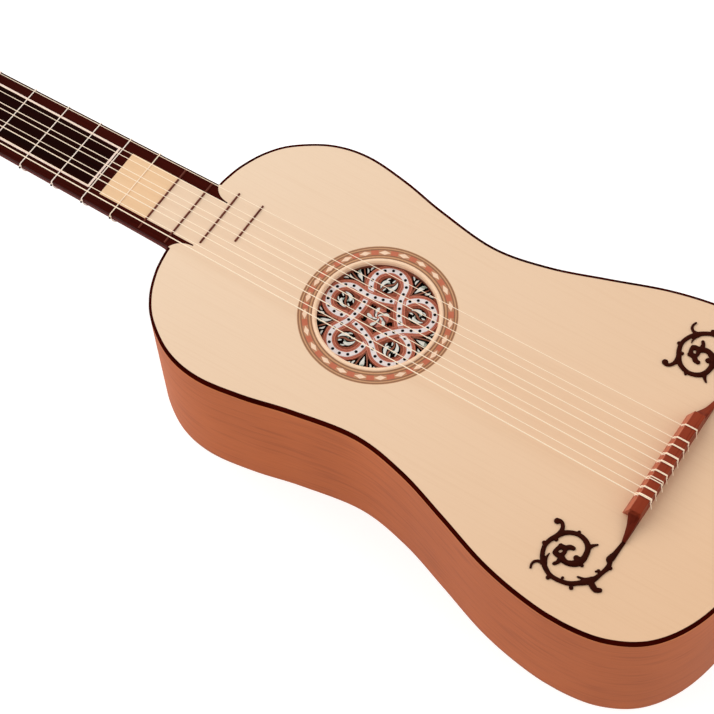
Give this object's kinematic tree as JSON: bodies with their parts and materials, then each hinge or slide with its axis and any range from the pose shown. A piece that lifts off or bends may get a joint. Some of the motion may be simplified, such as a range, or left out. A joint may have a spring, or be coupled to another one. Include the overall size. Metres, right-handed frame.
{
  "type": "baroque guitar",
  "caption": "Baroque guitar with a waisted flat-backed body, pierced rose, tied gut frets, paired gut strings, a bridge with scrolls and wooden tuning pegs.",
  "frame": {"origin": "on the outer face of the flat back, on the centre line, under the middle of the body's length", "axes": "+Z out of the soundboard, +X from the nut towards the tail, +Y towards the treble side"},
  "size_m": [0.9583, 0.266, 0.1229],
  "materials": {
    "soundboard_spruce": "pale spruce with fine straight grain, thin clear varnish",
    "spruce": "bare pale spruce",
    "rib_wood": "reddish brown wood with fine figure, satin varnish",
    "ebony": "near-black brown ebony, smooth satin",
    "head_wood": "near-black veneered head, smooth satin",
    "peg_wood": "dark turned wood, polished",
    "bridge_wood": "reddish brown wood, satin",
    "scroll_wood": "dark brown carved wood, satin",
    "fret_wood": "brown hardwood strip",
    "pale_wood": "pale wood bead",
    "mosaic_wood": "band of reddish rectangles and pale lozenges between dark lines",
    "rose_parchment": "pierced terracotta parchment with a white dotted ribbon",
    "bone": "polished bone",
    "string_gut": "translucent creamy gut",
    "fret_gut": "creamy gut, tied"
  },
  "bodies": {
    "guitar": {"back": "rib_wood", "bass_rib": "rib_wood", "treble_rib": "rib_wood", "neck_block": "spruce", "tail_block": "spruce", "upper_soundboard_brace": "spruce", "lower_soundboard_brace": "spruce", "back_brace": "spruce", "soundboard": "soundboard_spruce", "edge_binding": "ebony", "rose": "rose_parchment", "rose_bead": "pale_wood", "rosette_band": "mosaic_wood", "neck": "head_wood", "fingerboard": "ebony", "fingerboard_inlay": "bone", "nut": "bone", "bridge": "bridge_wood", "bass_scroll": "scroll_wood", "treble_scroll": "scroll_wood", "head": "head_wood", "gut_fret_1": "fret_gut", "gut_fret_2": "fret_gut", "gut_fret_3": "fret_gut", "gut_fret_4": "fret_gut", "gut_fret_5": "fret_gut", "gut_fret_6": "fret_gut", "gut_fret_7": "fret_gut", "gut_fret_8": "fret_gut", "wood_fret_9": "fret_wood", "wood_fret_10": "fret_wood", "wood_fret_11": "fret_wood", "wood_fret_12": "fret_wood", "string_1": "string_gut", "string_2": "string_gut", "string_3": "string_gut", "string_4": "string_gut", "string_5": "string_gut", "string_6": "string_gut", "string_7": "string_gut", "string_8": "string_gut", "string_9": "string_gut"},
    "tuning_peg_1": {"peg_1": "peg_wood", "winding_1": "string_gut"},
    "tuning_peg_2": {"peg_2": "peg_wood", "winding_2": "string_gut"},
    "tuning_peg_3": {"peg_3": "peg_wood", "winding_3": "string_gut"},
    "tuning_peg_4": {"peg_4": "peg_wood", "winding_4": "string_gut"},
    "tuning_peg_5": {"peg_5": "peg_wood", "winding_5": "string_gut"},
    "tuning_peg_6": {"peg_6": "peg_wood", "winding_6": "string_gut"},
    "tuning_peg_7": {"peg_7": "peg_wood", "winding_7": "string_gut"},
    "tuning_peg_8": {"peg_8": "peg_wood", "winding_8": "string_gut"},
    "tuning_peg_9": {"peg_9": "peg_wood", "winding_9": "string_gut"}
  },
  "joints": [
    {"name": "tuning_peg_1_turn", "type": "hinge", "parent": "guitar", "child": "tuning_peg_1", "pos_m": [-0.58098, 0.02701, 0.1027], "axis": [-0.1736, 0, 0.9848], "continuous": true},
    {"name": "tuning_peg_2_turn", "type": "hinge", "parent": "guitar", "child": "tuning_peg_2", "pos_m": [-0.60657, 0.02701, 0.09818], "axis": [-0.1736, 0, 0.9848], "continuous": true},
    {"name": "tuning_peg_3_turn", "type": "hinge", "parent": "guitar", "child": "tuning_peg_3", "pos_m": [-0.63217, 0.02701, 0.09367], "axis": [-0.1736, 0, 0.9848], "continuous": true},
    {"name": "tuning_peg_4_turn", "type": "hinge", "parent": "guitar", "child": "tuning_peg_4", "pos_m": [-0.65776, 0.02701, 0.08916], "axis": [-0.1736, 0, 0.9848], "continuous": true},
    {"name": "tuning_peg_5_turn", "type": "hinge", "parent": "guitar", "child": "tuning_peg_5", "pos_m": [-0.68335, -0.02701, 0.08464], "axis": [-0.1736, 0, 0.9848], "continuous": true},
    {"name": "tuning_peg_6_turn", "type": "hinge", "parent": "guitar", "child": "tuning_peg_6", "pos_m": [-0.65776, -0.02701, 0.08916], "axis": [-0.1736, 0, 0.9848], "continuous": true},
    {"name": "tuning_peg_7_turn", "type": "hinge", "parent": "guitar", "child": "tuning_peg_7", "pos_m": [-0.63217, -0.02701, 0.09367], "axis": [-0.1736, 0, 0.9848], "continuous": true},
    {"name": "tuning_peg_8_turn", "type": "hinge", "parent": "guitar", "child": "tuning_peg_8", "pos_m": [-0.60657, -0.02701, 0.09818], "axis": [-0.1736, 0, 0.9848], "continuous": true},
    {"name": "tuning_peg_9_turn", "type": "hinge", "parent": "guitar", "child": "tuning_peg_9", "pos_m": [-0.58098, -0.02701, 0.1027], "axis": [-0.1736, 0, 0.9848], "continuous": true}
  ]
}
